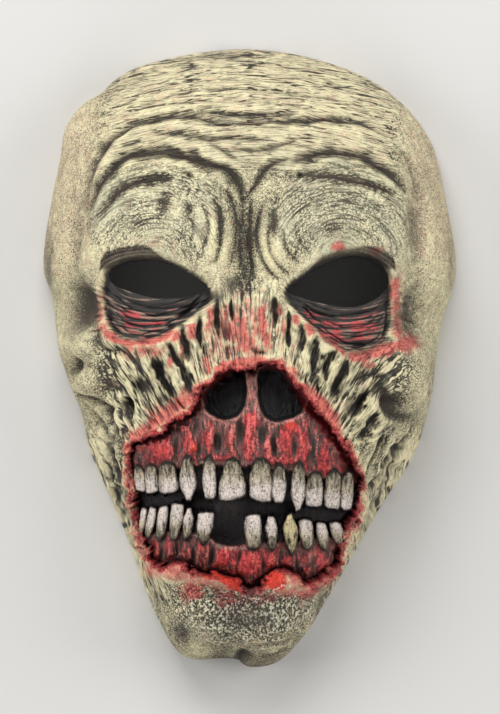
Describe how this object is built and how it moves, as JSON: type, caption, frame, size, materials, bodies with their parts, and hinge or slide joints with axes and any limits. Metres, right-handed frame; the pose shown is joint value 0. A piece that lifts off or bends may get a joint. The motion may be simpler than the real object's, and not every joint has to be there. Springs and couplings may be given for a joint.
{
  "type": "zombie mask",
  "caption": "Latex costume mask of a rotting ghoul, open at the back, with cut-out eyes, torn nose and lips, and bared teeth; covers a wearer's face.",
  "frame": {"origin": "on the plane of the back rim, below the middle of the mask's outline", "axes": "+X to the viewer's right when the face is seen, +Y towards the top of the head, +Z out of the face; the mask lies on its back rim, face up"},
  "size_m": [0.1938, 0.2898, 0.0945],
  "materials": {
    "painted_latex": "matt latex, sponged bone cream over a dark wash in the wrinkles, red in the torn edges and gums, ivory teeth"
  },
  "bodies": {
    "root": {"zombie_mask": "painted_latex"}
  },
  "joints": []
}
